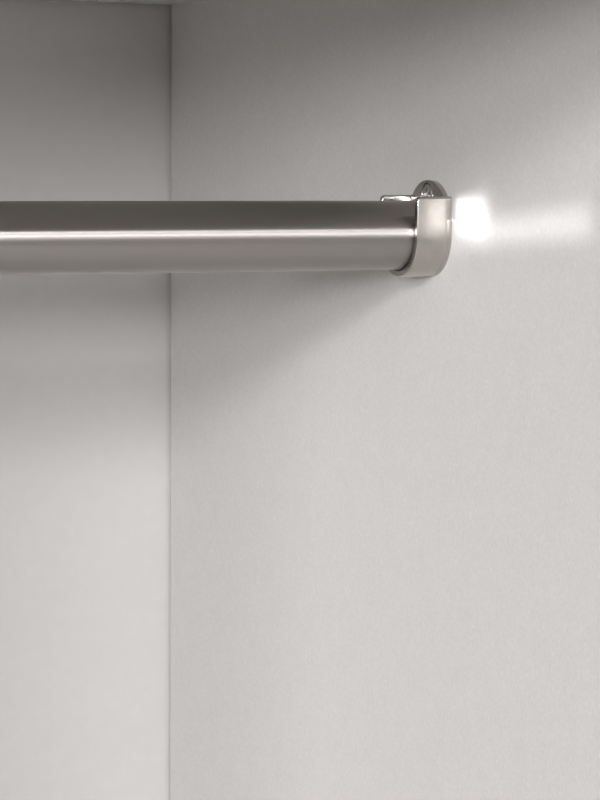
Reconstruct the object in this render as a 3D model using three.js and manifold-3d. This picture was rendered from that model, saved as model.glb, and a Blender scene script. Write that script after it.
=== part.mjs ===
// A chifforobe: a tall hanging compartment behind one door, beside three drawers and a cupboard.
// Millimetres, +Z up, +X to the right, the front towards -Y.
// The origin is on the floor, in the middle of the carcass, under the middle leg.

import * as THREE from "three";
import { mergeVertices } from "three/addons/utils/BufferGeometryUtils.js";
import Module from "manifold-3d";

const wasm = await Module();
wasm.setup();

// Carcass of melamine-faced board
const board = 18;
const carcassWidth = 1000;
const carcassHeight = 1680;
const interiorDepth = 520;
const backThickness = 3;
const backInset = 11; // from the back panel to the rear edges of the carcass
const backGrooveDepth = 6;
const backGroovePlay = 2; // in front of the back panel, which stands against the groove's rear wall
const legHeight = 100;

// Clearance of one piece in another, what cuts run past a face, and where vertices are taken as one
const fit = 0.3;
const overrun = 1;
const weld = 0.0005;

// Fronts: doors and drawer fronts lie over the edges of the carcass
const frontGap = 2; // between a front and the carcass edge behind it
const reveal = 1.5; // what the outline of the fronts stays inside the outline of the carcass
const frontJoint = 3; // between two fronts
const edgeRadius = 1;
const drawerCount = 3;
const drawerFrontHeight = 230;

// Hanging rail: a thin steel tube
const railDiameter = 25;
const railWall = 1.2;
const railDrop = 97.5; // from the top panel down to the axis of the rail
const railDepthShare = 0.5; // of the interior depth

// Rail sockets: a flange screwed to the wall and an open-topped cup
const socketDepth = 14;
const socketFlange = 2.2;
const socketFlangeRadius = 15.2;
const socketEar = 4.8; // what the flange's upper round stands above its lower one
const socketWall = 2.4;
const socketPlay = 0.25; // round the tube
const socketArmTop = 14.3; // above the axis
const socketCorner = 2.6; // of the arms' ends
const socketEdge = 0.8;
const socketScrewHole = 4.2;
const socketScrewHead = 8;
const socketScrewRise = 15; // of the upper screw above the axis
const socketScrewDrop = 7; // of the lower screw below the axis, behind the tube's end

// Concealed cup hinges. The measures are for an arm straight over the edge of the side panel.
const cupDiameter = 35;
const cupDepth = 11.5;
const cupWall = 1.2;
const cupSetback = 22.5; // of its centre from the door's edge
const cupWingWidth = 16;
const cupWingSpan = 60;
const cupWingThickness = 1;
const cupPinSetback = 10.8; // from the door's edge
const cupPinDepth = 4.3; // below the door's inner face
const cupPinRadius = 1.1;
const armPinInset = 19.8; // from the inner face of the side panel
const armPinSetback = 2.5; // behind the front edge of the side panel
const armPinRadius = 1.5;
const linkThickness = 2.6;
const linkWidth = 12;
const linkTurnShare = -1 / 3; // of the door's angle
const elbowShare = 0.874; // of the distance between the pins
const elbowOffset = 5.3;
const linkEyeWall = 1.2;
const armSheet = 1.5;
const armNose = 3.4; // round the pin
const armLength = 58;
const armTailHeight = 12;
const armNeckSetback = 16; // from the front edge to where the cheeks come down to the plate
const plateThickness = 2.5;
const plateLength = 40;
const plateWidth = 17;
const plateWingLength = 16;
const plateWingSpan = 48;
const hingeEndDistance = 100; // from the end of a door to its outer hinges
const wardrobeHingeCount = 3;
const cupboardHingeCount = 2;
const wardrobeDoorAngle = Math.PI / 2; // the wardrobe door stands open, the cupboard door is shut
const cupboardDoorAngle = 0;

// Bow handles
const handleSpan = 128;
const handleReach = 32;
const handleRadius = 5;
const handleBend = 13;
const handleFootRadius = 7.5;
const handleFootHeight = 3;
const handleEdgeDistance = 38; // from the free edge of a door
const wardrobeHandleHeight = 1010; // of its middle above the floor
const cupboardHandleRise = 150; // of its middle above the door's lower edge

// Drawers: steel sides with a runner flange, on roller runners
const drawerRearSpace = 70; // from the back of a drawer to the back panel
const drawerWebHeight = 150;
const drawerBoard = 16;
const drawerBackHeight = 120;
const drawerSideSpace = 12.5; // from the compartment wall to the drawer's web
const drawerLedge = 21;
const drawerHemWidth = 7;
const drawerHemHeight = 3;
const drawerRise = 31; // of the ledge above the front's lower edge
const runnerSheet = 1.2;
const runnerSetback = 2; // behind the front edge of the carcass
const runnerLip = 2.4;
const runnerPlay = 1.6; // between the drawer's flange and the top of the channel
const rollerRadius = 9;
const rollerWidth = 5.8;
const rollerAxle = 2.5;
const rollerSideGap = 1;
const rollerEndDistance = 12;
const ledgeRise = 3; // of the ledge above the channel's underside

// Adjustable shelf on pins in rows of holes
const pinDiameter = 5;
const pinLength = 9;
const pinPitch = 32;
const pinHoleDepth = 10;
const pinRowSetback = 37; // of the front row from the front edge, and of the rear row from the back
const pinHoleSteps = [-2, -1, 1, 2]; // holes below and above the pins, in pitches
const shelfHeightShare = 0.52; // of the cupboard's clear height
const shelfSideGap = 0.5;
const shelfFrontSetback = 4;

// Levelling legs
const legInset = 70;
const legRadius = 20;
const legPlateRadius = 32;
const legPlateThickness = 4;
const legFootRadius = 23;
const legFootHeight = 9;
const legFootChamfer = 2;
const legStemRadius = 9;
const legStemLength = 8;

// Facets
const holeFacets = 8;
const pinFacets = 12;
const rollerFacets = 18;
const cupFacets = 20;
const railFacets = 40;
const socketFacets = 16; // in a half round
const cornerFacets = 4;
const legFacets = 18;
const handleFacets = 10;
const bendFacets = 4;

// What follows from them
const halfWidth = carcassWidth / 2;
const innerX = halfWidth - board;
const sideDepth = interiorDepth + backThickness + backInset;
const frontY = -sideDepth / 2;
const rearY = sideDepth / 2;
const backY = frontY + interiorDepth;
const bottomZ = legHeight;
const topZ = legHeight + carcassHeight;
const floorZ = bottomZ + board;
const ceilingZ = topZ - board;
const partitionX = board / 2;
const overlay = board - reveal;
const frontsBottomZ = bottomZ + reveal;
const frontsTopZ = topZ - reveal;
const frontWidth = halfWidth - reveal - frontJoint / 2;
const frontStep = drawerFrontHeight + frontJoint;
const drawerLength = interiorDepth - drawerRearSpace;
const cupboardDoorZ = frontsBottomZ + drawerCount * frontStep;
const fixedShelfZ = cupboardDoorZ - frontJoint / 2 - board / 2;
const cupboardFloorZ = fixedShelfZ + board;
const shelfZ = cupboardFloorZ + shelfHeightShare * (ceilingZ - cupboardFloorZ);
const railY = frontY + railDepthShare * interiorDepth;
const railZ = ceilingZ - railDrop;

// Materials
const white = { color: 0xf1efea, roughness: 0.5, metalness: 0 };
const finishes = {
  melamine: white,
  hardboard: { color: 0xecebe6, roughness: 0.6, metalness: 0 },
  chrome: { color: 0xd8dadb, roughness: 0.08, metalness: 1 },
  nickel: { color: 0xbfbcb5, roughness: 0.28, metalness: 1 },
  enamelledSteel: { color: 0xe9e9e6, roughness: 0.35, metalness: 0 },
  blackPlastic: { color: 0x1d1d1e, roughness: 0.55, metalness: 0 },
};

// Helpers for solids
function solid(geometry) {
  const loose = geometry.index ? geometry.toNonIndexed() : geometry.clone();
  loose.deleteAttribute("normal");
  loose.deleteAttribute("uv");
  const merged = mergeVertices(loose, weld);
  return new wasm.Manifold(
    new wasm.Mesh({
      numProp: 3,
      vertProperties: merged.attributes.position.array,
      triVerts: new Uint32Array(merged.index.array),
    }),
  );
}

function geometryOf(shape) {
  const mesh = shape.getMesh();
  const geometry = new THREE.BufferGeometry();
  const positions = new Float32Array(mesh.vertProperties);
  geometry.setAttribute("position", new THREE.BufferAttribute(positions, mesh.numProp));
  geometry.setIndex(new THREE.BufferAttribute(new Uint32Array(mesh.triVerts), 1));
  const flat = geometry.toNonIndexed();
  flat.computeVertexNormals();
  return flat;
}

function joined(first, ...others) {
  return others.reduce((whole, piece) => whole.add(piece), first);
}

function box(x0, x1, y0, y1, z0, z1) {
  const geometry = new THREE.BoxGeometry(x1 - x0, y1 - y0, z1 - z0);
  return geometry.translate((x0 + x1) / 2, (y0 + y1) / 2, (z0 + z1) / 2);
}

// A prism of a shape drawn in X and Y, from z0 up to z1
function prism(shape, z0, z1) {
  const options = { depth: z1 - z0, bevelEnabled: false };
  return new THREE.ExtrudeGeometry(shape, options).translate(0, 0, z0);
}

// A prism of a shape drawn in X and Z, from y0 to y1
function prismAlongY(shape, y0, y1) {
  return prism(shape, 0, y1 - y0).rotateX(Math.PI / 2).translate(0, y1, 0);
}

function outline(points) {
  return new THREE.Shape(points.map(([x, y]) => new THREE.Vector2(x, y)));
}

// A shape's arcs as straight facets, fewer in a quarter round, without points that repeat the one before
function faceted(shape, facetsInHalfRound) {
  const points = shape.curves.flatMap((curve) => {
    if (!curve.isEllipseCurve) return curve.getPoints(1);
    const isQuarter = Math.abs(curve.aEndAngle - curve.aStartAngle) < Math.PI - weld;
    return curve.getPoints(isQuarter ? cornerFacets : facetsInHalfRound);
  });
  const kept = points.filter((point, i) => {
    const previous = points[(i + points.length - 1) % points.length];
    return point.distanceTo(previous) > weld;
  });
  return new THREE.Shape(kept);
}

// A round bar along Z, X or Y
function rod(radius, z0, z1, facets = pinFacets) {
  const geometry = new THREE.CylinderGeometry(radius, radius, z1 - z0, facets);
  return geometry.rotateX(Math.PI / 2).translate(0, 0, (z0 + z1) / 2);
}

function rodAlongX(radius, x0, x1, facets = pinFacets) {
  const geometry = new THREE.CylinderGeometry(radius, radius, x1 - x0, facets);
  return geometry.rotateZ(-Math.PI / 2).translate((x0 + x1) / 2, 0, 0);
}

// A turned piece: its profile runs from its lower end on the axis to its upper end on the axis
function turned(profile, facets) {
  const points = profile.map(([radius, height]) => new THREE.Vector2(radius, height));
  return new THREE.LatheGeometry(points, facets).rotateX(Math.PI / 2);
}

const part = new THREE.Group();
part.name = "chifforobe";

function node(name, shape, finish, parent = part) {
  const geometry = shape.isBufferGeometry ? shape : geometryOf(shape);
  const mesh = new THREE.Mesh(geometry, new THREE.MeshStandardMaterial(finishes[finish]));
  mesh.name = name;
  parent.add(mesh);
  return mesh;
}

function group(x, y, z, parent = part) {
  const made = new THREE.Group();
  made.position.set(x, y, z);
  parent.add(made);
  return made;
}

// Side panels, top and bottom share the groove that holds the back panel
function grooved(x0, x1, z0, z1) {
  const groove = box(
    -innerX - backGrooveDepth - fit,
    innerX + backGrooveDepth + fit,
    backY - backGroovePlay,
    backY + backThickness,
    floorZ - backGrooveDepth - fit,
    ceilingZ + backGrooveDepth + fit,
  );
  return solid(box(x0, x1, frontY, rearY, z0, z1)).subtract(solid(groove));
}

// The rows of holes and the two pins on the wall at wallX, where inward is +1 or -1 into the cupboard
function pinRows(wallX, inward) {
  const rows = [frontY + pinRowSetback, backY - pinRowSetback];
  const holes = [];
  const pins = [];
  for (const y of rows) {
    const x0 = wallX - inward * pinHoleDepth;
    const x1 = wallX + inward * overrun;
    for (const step of pinHoleSteps) {
      const z = shelfZ - pinDiameter / 2 - fit + step * pinPitch;
      const hole = rodAlongX(pinDiameter / 2, Math.min(x0, x1), Math.max(x0, x1), holeFacets);
      holes.push(solid(hole.translate(0, y, z)));
    }
    const tip = wallX + inward * pinLength;
    const pin = rodAlongX(pinDiameter / 2, Math.min(x0, tip), Math.max(x0, tip), holeFacets);
    pins.push(solid(pin.translate(0, y, shelfZ - pinDiameter / 2 - fit)));
  }
  return { holes, pins };
}

function withPinRows(panel, wallX, inward) {
  const { holes, pins } = pinRows(wallX, inward);
  const drilled = holes.reduce((whole, hole) => whole.subtract(hole), panel);
  return joined(drilled, ...pins);
}

function buildCarcass() {
  const left = grooved(-halfWidth, -innerX, bottomZ, topZ);
  node("side_left", withPinRows(left, -innerX, 1), "melamine");
  node("side_right", grooved(innerX, halfWidth, bottomZ, topZ), "melamine");
  node("top_panel", grooved(-innerX, innerX, ceilingZ, topZ), "melamine");
  node("bottom_panel", grooved(-innerX, innerX, bottomZ, floorZ), "melamine");
  const divider = solid(box(-partitionX, partitionX, frontY, backY, floorZ, ceilingZ));
  node("partition", withPinRows(divider, -partitionX, -1), "melamine");
  const back = box(
    -innerX - backGrooveDepth,
    innerX + backGrooveDepth,
    backY,
    backY + backThickness,
    floorZ - backGrooveDepth,
    ceilingZ + backGrooveDepth,
  );
  node("back_panel", back, "hardboard");
  const fixed = box(-innerX, -partitionX, frontY, backY, fixedShelfZ, cupboardFloorZ);
  node("fixed_shelf", fixed, "melamine");
  const loose = box(
    -innerX + shelfSideGap,
    -partitionX - shelfSideGap,
    frontY + shelfFrontSetback,
    backY - fit,
    shelfZ,
    shelfZ + board,
  );
  node("adjustable_shelf", loose, "melamine");
}

// A levelling leg: foot, threaded stem, tube and mounting plate
function legShape() {
  const tubeBottom = legFootHeight + legStemLength;
  return turned(
    [
      [0, 0],
      [legFootRadius - legFootChamfer, 0],
      [legFootRadius, legFootChamfer],
      [legFootRadius, legFootHeight - legFootChamfer],
      [legFootRadius - legFootChamfer, legFootHeight],
      [legStemRadius, legFootHeight],
      [legStemRadius, tubeBottom],
      [legRadius, tubeBottom],
      [legRadius, legHeight - legPlateThickness],
      [legPlateRadius, legHeight - legPlateThickness],
      [legPlateRadius, legHeight],
      [0, legHeight],
    ],
    legFacets,
  );
}

function buildLegs() {
  const x = halfWidth - legInset;
  const y = sideDepth / 2 - legInset;
  const places = {
    leg_front_left: [-x, -y],
    leg_front_right: [x, -y],
    leg_rear_left: [-x, y],
    leg_rear_right: [x, y],
    leg_middle: [0, 0],
  };
  for (const [name, [legX, legY]] of Object.entries(places)) {
    node(name, legShape(), "blackPlastic").position.set(legX, legY, 0);
  }
}

// A rail socket, with its wall at z = 0, the rail's axis along +z, and up along +y
function socketShape() {
  const bore = railDiameter / 2 + socketPlay;
  const outer = bore + socketWall;
  const flange = new THREE.Shape();
  flange.absarc(0, 0, socketFlangeRadius, Math.PI, 0, false);
  flange.absarc(0, socketEar, socketFlangeRadius, 0, Math.PI, false);
  flange.closePath();
  const cup = new THREE.Shape();
  const cornerX = outer - socketCorner;
  const cornerY = socketArmTop - socketCorner;
  cup.absarc(0, 0, outer, Math.PI, 0, false);
  cup.absarc(cornerX, cornerY, socketCorner, 0, Math.PI / 2, false);
  cup.absarc(-cornerX, cornerY, socketCorner, Math.PI / 2, Math.PI, false);
  cup.closePath();
  const rounded = {
    depth: socketDepth - socketEdge,
    bevelThickness: socketEdge,
    bevelSize: socketEdge,
    bevelOffset: -socketEdge,
    bevelSegments: 1,
  };
  const slot = new THREE.Shape();
  slot.absarc(0, 0, bore, Math.PI, 0, false);
  slot.lineTo(bore, socketArmTop + overrun);
  slot.lineTo(-bore, socketArmTop + overrun);
  slot.closePath();
  const behind = solid(box(-outer, outer, -outer, outer, -overrun - socketEdge, 0));
  const cupSolid = solid(new THREE.ExtrudeGeometry(faceted(cup, socketFacets), rounded))
    .subtract(solid(prism(faceted(slot, socketFacets), -overrun - socketEdge, socketDepth + overrun)))
    .subtract(behind);
  const holes = [socketScrewRise, -socketScrewDrop].map((rise) => {
    const sink = [
      [0, -overrun],
      [socketScrewHole / 2, -overrun],
      [socketScrewHole / 2, 0],
      [socketScrewHead / 2, socketFlange],
      [socketScrewHead / 2, socketFlange + overrun / 2],
      [0, socketFlange + overrun / 2],
    ];
    return solid(turned(sink, pinFacets).translate(0, rise, 0));
  });
  const flangeSolid = holes.reduce(
    (plate, hole) => plate.subtract(hole),
    solid(prism(faceted(flange, socketFacets), 0, socketFlange)),
  );
  return flangeSolid.add(cupSolid);
}

function buildRail() {
  const shape = geometryOf(socketShape());
  const sockets = { rail_socket_right: [innerX, -1], rail_socket_left: [partitionX, 1] };
  for (const [name, [x, direction]] of Object.entries(sockets)) {
    const socket = node(name, shape.clone(), "chrome");
    socket.position.set(x, railY, railZ);
    socket.rotation.set(Math.PI / 2, (direction * Math.PI) / 2, 0);
  }
  const x0 = partitionX + socketFlange + fit;
  const x1 = innerX - socketFlange - fit;
  const outer = railDiameter / 2;
  const inner = outer - railWall;
  const profile = [
    [outer, 0],
    [outer, x1 - x0],
    [inner, x1 - x0],
    [inner, 0],
    [outer, 0],
  ];
  const tube = node("hanging_rail", turned(profile, railFacets), "chrome");
  tube.position.set(x0, railY, railZ);
  tube.rotation.y = Math.PI / 2;
}

// A board with eased edges, from the origin along +x and +z, with its thickness along +y
function easedBoard(width, height, thickness) {
  const shape = outline([
    [0, 0],
    [width, 0],
    [width, height],
    [0, height],
  ]);
  const eased = {
    depth: thickness - 2 * edgeRadius,
    bevelThickness: edgeRadius,
    bevelSize: edgeRadius,
    bevelOffset: -edgeRadius,
    bevelSegments: 2,
  };
  const geometry = new THREE.ExtrudeGeometry(shape, eased);
  return geometry.rotateX(Math.PI / 2).translate(0, thickness - edgeRadius, 0);
}

// A bar of round section along points in the X and Y plane
function bentBar(path, radius, facets) {
  const positions = [];
  const index = [];
  path.forEach((point, i) => {
    const before = path[Math.max(i - 1, 0)];
    const after = path[Math.min(i + 1, path.length - 1)];
    const along = after.clone().sub(before).normalize();
    const stretch = i > 0 && i < path.length - 1 ? 1 / Math.cos(bendStep(before, point, after)) : 1;
    for (let k = 0; k < facets; k += 1) {
      const angle = (2 * Math.PI * (k + 0.5)) / facets;
      const across = radius * Math.cos(angle) * stretch;
      positions.push(point.x - along.y * across);
      positions.push(point.y + along.x * across);
      positions.push(radius * Math.sin(angle));
    }
  });
  const last = path.length - 1;
  for (let i = 0; i < last; i += 1) {
    for (let k = 0; k < facets; k += 1) {
      const a = i * facets + k;
      const b = i * facets + ((k + 1) % facets);
      index.push(a, b, a + facets, b, b + facets, a + facets);
    }
  }
  for (let k = 1; k < facets - 1; k += 1) {
    index.push(0, k + 1, k);
    index.push(last * facets, last * facets + k, last * facets + k + 1);
  }
  const geometry = new THREE.BufferGeometry();
  geometry.setAttribute("position", new THREE.BufferAttribute(new Float32Array(positions), 3));
  geometry.setIndex(index);
  return geometry;
}

// Half the turn between two stretches of a path
function bendStep(before, point, after) {
  const first = point.clone().sub(before).angle();
  const second = after.clone().sub(point).angle();
  const turn = Math.atan2(Math.sin(second - first), Math.cos(second - first));
  return turn / 2;
}

// A bow handle along X that stands out along +Y from y = 0
function handleShape() {
  const half = handleSpan / 2;
  const corner = (centreX, from, to) => {
    const centre = new THREE.Vector2(centreX, handleReach - handleBend);
    return Array.from({ length: bendFacets + 1 }, (_, i) => {
      const angle = from + ((to - from) * i) / bendFacets;
      const out = new THREE.Vector2(Math.cos(angle), Math.sin(angle));
      return out.multiplyScalar(handleBend).add(centre);
    });
  };
  const path = [
    new THREE.Vector2(half, fit),
    ...corner(half - handleBend, 0, Math.PI / 2),
    ...corner(handleBend - half, Math.PI / 2, Math.PI),
    new THREE.Vector2(-half, fit),
  ];
  const foot = turned(
    [
      [0, fit],
      [handleFootRadius, fit],
      [handleFootRadius, handleFootHeight - edgeRadius],
      [handleFootRadius - edgeRadius, handleFootHeight],
      [0, handleFootHeight],
    ],
    pinFacets,
  ).rotateX(-Math.PI / 2);
  const feet = [-half, half].map((x) => solid(foot.clone().translate(x, 0, 0)));
  return joined(solid(bentBar(path, handleRadius, handleFacets)), ...feet);
}

// Concealed hinge. Its own frame has x inward from the side panel's inner face, y outward from that
// panel's front edge, and z up. The link swings back a little while the door swings out.
const armPin = new THREE.Vector2(armPinInset, -armPinSetback);

function hingeState(angle) {
  const closedPin = new THREE.Vector2(cupPinSetback - overlay, frontGap + cupPinDepth);
  const reach = closedPin.clone().sub(armPin);
  const length = reach.length();
  const direction = reach.angle() + linkTurnShare * angle;
  const pin = new THREE.Vector2(Math.cos(direction), Math.sin(direction));
  pin.multiplyScalar(length).add(armPin);
  const toPin = new THREE.Vector2(cupPinSetback, cupPinDepth).rotateAround(new THREE.Vector2(), angle);
  const corner = pin.clone().sub(toPin);
  return { length, direction, pin, corner };
}

// The link lies along +x from the arm's pin to the cup's pin, with its elbow to the right of that line
function linkShape() {
  const { length } = hingeState(0);
  const elbow = new THREE.Vector2(elbowShare * length, -elbowOffset);
  const ends = [new THREE.Vector2(), elbow, new THREE.Vector2(length, 0)];
  const strips = [0, 1].map((i) => {
    const along = ends[i + 1].clone().sub(ends[i]);
    const strip = box(0, along.length(), -linkThickness / 2, linkThickness / 2, 0, linkWidth);
    return solid(strip.rotateZ(along.angle()).translate(ends[i].x, ends[i].y, 0));
  });
  const eyes = [
    [ends[0], armPinRadius + fit + linkEyeWall],
    [elbow, linkThickness / 2],
    [ends[2], cupPinRadius + fit + linkEyeWall],
  ].map(([place, radius]) => {
    return solid(rod(radius, 0, linkWidth, pinFacets).translate(place.x, place.y, 0));
  });
  const bores = [
    [ends[0], armPinRadius + fit],
    [ends[2], cupPinRadius + fit],
  ].map(([place, radius]) => {
    const bore = rod(radius, -overrun, linkWidth + overrun, holeFacets);
    return solid(bore.translate(place.x, place.y, 0));
  });
  const bar = joined(strips[0], strips[1], ...eyes);
  return bores.reduce((whole, bore) => whole.subtract(bore), bar);
}

// The cup in the door's frame: x from the door's edge, y from its inner face into the door
function cupShape() {
  const radius = cupDiameter / 2;
  const bowl = turned(
    [
      [0, cupDepth - cupWall],
      [radius - cupWall, cupDepth - cupWall],
      [radius - cupWall, -fit],
      [radius, -fit],
      [radius, cupDepth - cupWall],
      [radius - cupWall, cupDepth],
      [0, cupDepth],
    ].reverse(),
    cupFacets,
  );
  const placed = bowl.scale(1, 1, -1).rotateX(Math.PI / 2).translate(cupSetback, 0, 0);
  const halfWing = cupWingWidth / 2;
  const wing = new THREE.Shape();
  wing.absarc(0, cupWingSpan / 2 - halfWing, halfWing, 0, Math.PI, false);
  wing.absarc(0, halfWing - cupWingSpan / 2, halfWing, Math.PI, 2 * Math.PI, false);
  wing.closePath();
  const plate = prism(faceted(wing, pinFacets), 0, cupWingThickness).rotateX(Math.PI / 2);
  plate.translate(cupSetback, -fit, 0);
  const mouth = rod(radius - cupWall, -cupWingThickness - overrun, cupDepth - cupWall, cupFacets);
  mouth.rotateX(-Math.PI / 2).translate(cupSetback, 0, 0);
  const pinHalf = Math.sqrt((radius - cupWall / 2) ** 2 - (cupSetback - cupPinSetback) ** 2);
  const pin = rod(cupPinRadius, -pinHalf, pinHalf).translate(cupPinSetback, cupPinDepth, 0);
  const shell = solid(placed).add(solid(plate)).subtract(solid(mouth));
  return shell.add(solid(pin));
}

// The arm: two cheeks and a web, folded from sheet, on a cross-shaped plate against the side panel
function armShape() {
  const top = armPinInset + armNose;
  const nose = new THREE.Shape();
  nose.moveTo(plateThickness, -armNeckSetback - plateThickness);
  nose.lineTo(armPinInset - armNose, -armPinSetback - armNose);
  nose.absarc(armPinInset, -armPinSetback, armNose, Math.PI, 0, true);
  nose.lineTo(top, -armLength / 2);
  nose.lineTo(armTailHeight, -armLength);
  nose.lineTo(plateThickness, -armLength);
  nose.closePath();
  const half = linkWidth / 2 + fit + armSheet;
  const channel = outline([
    [0, overrun + armNose],
    [top - armSheet, overrun + armNose],
    [top - armSheet, -armLength / 2],
    [armTailHeight - armSheet, -armLength - armSheet],
    [0, -armLength - armSheet],
  ]);
  const noseCut = box(0, top + overrun, -armPinSetback - armNose, armNose + overrun, armSheet - half, half - armSheet);
  const cheeks = solid(prism(faceted(nose, pinFacets), -half, half))
    .subtract(solid(prism(channel, armSheet - half, half - armSheet)))
    .subtract(solid(noseCut));
  const plateStart = -armNeckSetback;
  const spine = box(0, plateThickness, plateStart - plateLength, plateStart, -plateWidth / 2, plateWidth / 2);
  const wingMiddle = plateStart - plateLength / 2;
  const wings = box(
    0,
    plateThickness,
    wingMiddle - plateWingLength / 2,
    wingMiddle + plateWingLength / 2,
    -plateWingSpan / 2,
    plateWingSpan / 2,
  );
  const pin = rod(armPinRadius, -half + armSheet / 2, half - armSheet / 2);
  pin.translate(armPin.x, armPin.y, 0);
  return joined(cheeks, solid(spine), solid(wings), solid(pin));
}

// A door on its hinges. The frame of the hinge is turned and mirrored onto the right or left side panel.
function buildDoor({ name, handedness, z0, height, hingeCount, angle, handleZ }) {
  const frame = group(handedness * innerX, frontY, z0);
  frame.scale.set(-handedness, -1, 1);
  const { direction, corner } = hingeState(angle);
  const leaf = group(corner.x, corner.y, 0, frame);
  leaf.rotation.z = angle;
  const step = (height - 2 * hingeEndDistance) / (hingeCount - 1);
  const heights = Array.from({ length: hingeCount }, (_, i) => hingeEndDistance + i * step);
  const bores = heights.map((z) => {
    const bore = rod(cupDiameter / 2 + fit, -overrun, cupDepth + fit, cupFacets);
    return solid(bore.rotateX(-Math.PI / 2).translate(cupSetback, 0, z));
  });
  const blank = solid(easedBoard(frontWidth, height, board));
  const drilled = bores.reduce((whole, bore) => whole.subtract(bore), blank);
  node(name, drilled, "melamine", leaf);
  const handle = node(name + "_handle", handleShape(), "chrome", leaf);
  handle.position.set(frontWidth - handleEdgeDistance, board, handleZ - z0);
  handle.rotation.y = Math.PI / 2;
  heights.forEach((z, i) => {
    const label = name + "_hinge_" + (i + 1);
    node(label + "_cup", cupShape(), "nickel", leaf).position.z = z;
    const link = node(label + "_link", linkShape(), "nickel", frame);
    link.position.set(armPin.x, armPin.y, z - linkWidth / 2);
    link.rotation.z = direction;
    node(label + "_arm", armShape(), "nickel", frame).position.z = z;
  });
}

// Drawer runners. Their frame has x away from the compartment wall, z up from the channel's underside.
const rollerStart = runnerSheet + rollerSideGap;
const rollerEnd = rollerStart + rollerWidth;
const fixedRollerZ = runnerSheet + rollerSideGap / 2 + rollerRadius;
const drawerFlangeZ = fixedRollerZ + rollerRadius + fit;
const drawerRollerZ = runnerSheet + fit + rollerRadius;
const channelHeight = drawerFlangeZ + 2 * runnerSheet + runnerPlay;
const webInner = drawerSideSpace + runnerSheet;
const drawerFrontY = frontY - frontGap;

function roller(z, y, x0, x1) {
  const wheel = rodAlongX(rollerRadius, rollerStart, rollerEnd, rollerFacets);
  const axle = rodAlongX(rollerAxle, x0, x1, holeFacets);
  return solid(wheel).add(solid(axle)).translate(0, y, z);
}

function cabinetRunner() {
  const lipX = rollerEnd + rollerSideGap / 2;
  const section = outline([
    [0, 0],
    [lipX + runnerSheet, 0],
    [lipX + runnerSheet, runnerSheet + runnerLip],
    [lipX, runnerSheet + runnerLip],
    [lipX, runnerSheet],
    [runnerSheet, runnerSheet],
    [runnerSheet, channelHeight - runnerSheet],
    [lipX, channelHeight - runnerSheet],
    [lipX, channelHeight],
    [0, channelHeight],
  ]);
  const y0 = frontY + runnerSetback;
  const channel = solid(prismAlongY(section, y0, y0 + drawerLength));
  return channel.add(roller(fixedRollerZ, y0 + rollerEndDistance, runnerSheet / 2, rollerEnd));
}

function drawerSide() {
  const web = drawerSideSpace;
  const topOfWeb = ledgeRise + drawerWebHeight;
  const hemX = webInner - drawerHemWidth;
  const section = outline([
    [web, ledgeRise],
    [webInner + drawerLedge, ledgeRise],
    [webInner + drawerLedge, ledgeRise + runnerSheet],
    [webInner, ledgeRise + runnerSheet],
    [webInner, topOfWeb - edgeRadius],
    [webInner - edgeRadius, topOfWeb],
    [hemX + edgeRadius, topOfWeb],
    [hemX, topOfWeb - edgeRadius],
    [hemX, topOfWeb - drawerHemHeight],
    [web, topOfWeb - drawerHemHeight],
    [web, drawerFlangeZ + runnerSheet],
    [rollerStart, drawerFlangeZ + runnerSheet],
    [rollerStart, drawerFlangeZ],
    [web, drawerFlangeZ],
  ]);
  const profile = solid(prismAlongY(section, drawerFrontY, drawerFrontY + drawerLength));
  const rollerY = drawerFrontY + drawerLength - rollerEndDistance;
  return profile.add(roller(drawerRollerZ, rollerY, rollerStart, web + runnerSheet / 2));
}

function buildDrawer(number) {
  const name = "drawer_" + number;
  const frontZ = frontsBottomZ + (number - 1) * frontStep;
  const channelZ = frontZ + drawerRise - ledgeRise;
  const floor = channelZ + ledgeRise + runnerSheet;
  const walls = { left: [-innerX, 1], right: [-partitionX, -1] };
  for (const [label, [x, inward]] of Object.entries(walls)) {
    const frame = group(x, 0, channelZ);
    frame.scale.x = inward;
    node(name + "_runner_" + label, cabinetRunner(), "enamelledSteel", frame);
    node(name + "_side_" + label, drawerSide(), "enamelledSteel", frame);
  }
  const x0 = -innerX + webInner + fit;
  const x1 = -partitionX - webInner - fit;
  const backY0 = drawerFrontY + drawerLength - drawerBoard;
  const bottom = box(x0, x1, drawerFrontY, backY0, floor, floor + drawerBoard);
  node(name + "_bottom", bottom, "melamine");
  const back = box(x0, x1, backY0, backY0 + drawerBoard, floor, floor + drawerBackHeight);
  node(name + "_back", back, "melamine");
  const front = node(name + "_front", easedBoard(frontWidth, drawerFrontHeight, board), "melamine");
  front.position.set(-halfWidth + reveal, drawerFrontY - board, frontZ);
  const handle = node(name + "_handle", handleShape(), "chrome");
  const middleX = -halfWidth + reveal + frontWidth / 2;
  handle.position.set(middleX, drawerFrontY - board, frontZ + drawerFrontHeight / 2);
  handle.rotation.z = Math.PI;
}

buildCarcass();
buildLegs();
buildRail();
buildDoor({
  name: "wardrobe_door",
  handedness: 1,
  z0: frontsBottomZ,
  height: frontsTopZ - frontsBottomZ,
  hingeCount: wardrobeHingeCount,
  angle: wardrobeDoorAngle,
  handleZ: wardrobeHandleHeight,
});
buildDoor({
  name: "cupboard_door",
  handedness: -1,
  z0: cupboardDoorZ,
  height: frontsTopZ - cupboardDoorZ,
  hingeCount: cupboardHingeCount,
  angle: cupboardDoorAngle,
  handleZ: cupboardDoorZ + cupboardHandleRise,
});
for (let number = 1; number <= drawerCount; number += 1) {
  buildDrawer(number);
}

export default part;
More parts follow.
